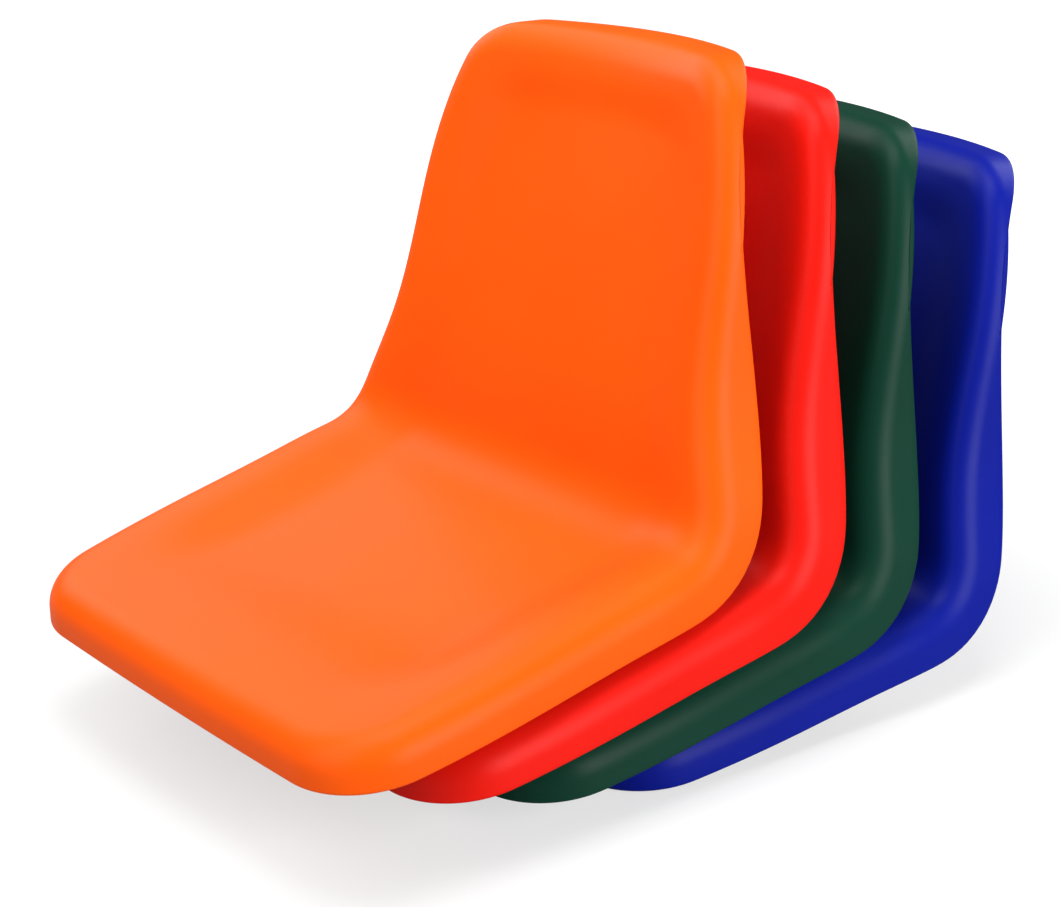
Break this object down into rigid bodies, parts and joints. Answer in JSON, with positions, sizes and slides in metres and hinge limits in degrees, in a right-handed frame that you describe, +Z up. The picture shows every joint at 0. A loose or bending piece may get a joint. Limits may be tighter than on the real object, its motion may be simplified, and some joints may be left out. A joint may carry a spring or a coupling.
{
  "type": "stadium seat stack",
  "caption": "Nested stack of moulded bucket seat shells with rolled rims, each with threaded inserts in the mounting bosses under its pan.",
  "frame": {"origin": "centre of the bottom shell's bolt pattern, on the faces of its mounting bosses", "axes": "+Z up out of the pan, -Y towards the sitter's knees, +X to the sitter's left, the side that the picture shows nearest"},
  "size_m": [0.4518, 0.7331, 0.4842],
  "materials": {
    "blue_plastic": "fine moulded grain, satin",
    "green_plastic": "fine moulded grain, satin",
    "red_plastic": "fine moulded grain, satin",
    "orange_plastic": "fine moulded grain, satin",
    "insert_brass": "machined"
  },
  "bodies": {
    "blue_seat": {"blue_shell": "blue_plastic", "blue_insert_front_right": "insert_brass", "blue_insert_front_left": "insert_brass", "blue_insert_rear_right": "insert_brass", "blue_insert_rear_left": "insert_brass"},
    "green_seat": {"green_shell": "green_plastic", "green_insert_front_right": "insert_brass", "green_insert_front_left": "insert_brass", "green_insert_rear_right": "insert_brass", "green_insert_rear_left": "insert_brass"},
    "red_seat": {"red_shell": "red_plastic", "red_insert_front_right": "insert_brass", "red_insert_front_left": "insert_brass", "red_insert_rear_right": "insert_brass", "red_insert_rear_left": "insert_brass"},
    "orange_seat": {"orange_shell": "orange_plastic", "orange_insert_front_right": "insert_brass", "orange_insert_front_left": "insert_brass", "orange_insert_rear_right": "insert_brass", "orange_insert_rear_left": "insert_brass"}
  },
  "joints": [
    {"name": "green_lift", "type": "slide", "parent": "blue_seat", "child": "green_seat", "axis": [0, 0, 1], "range_m": [0, 0.36]},
    {"name": "red_lift", "type": "slide", "parent": "green_seat", "child": "red_seat", "axis": [0, 0, 1], "range_m": [0, 0.36]},
    {"name": "orange_lift", "type": "slide", "parent": "red_seat", "child": "orange_seat", "axis": [0, 0, 1], "range_m": [0, 0.36]}
  ]
}
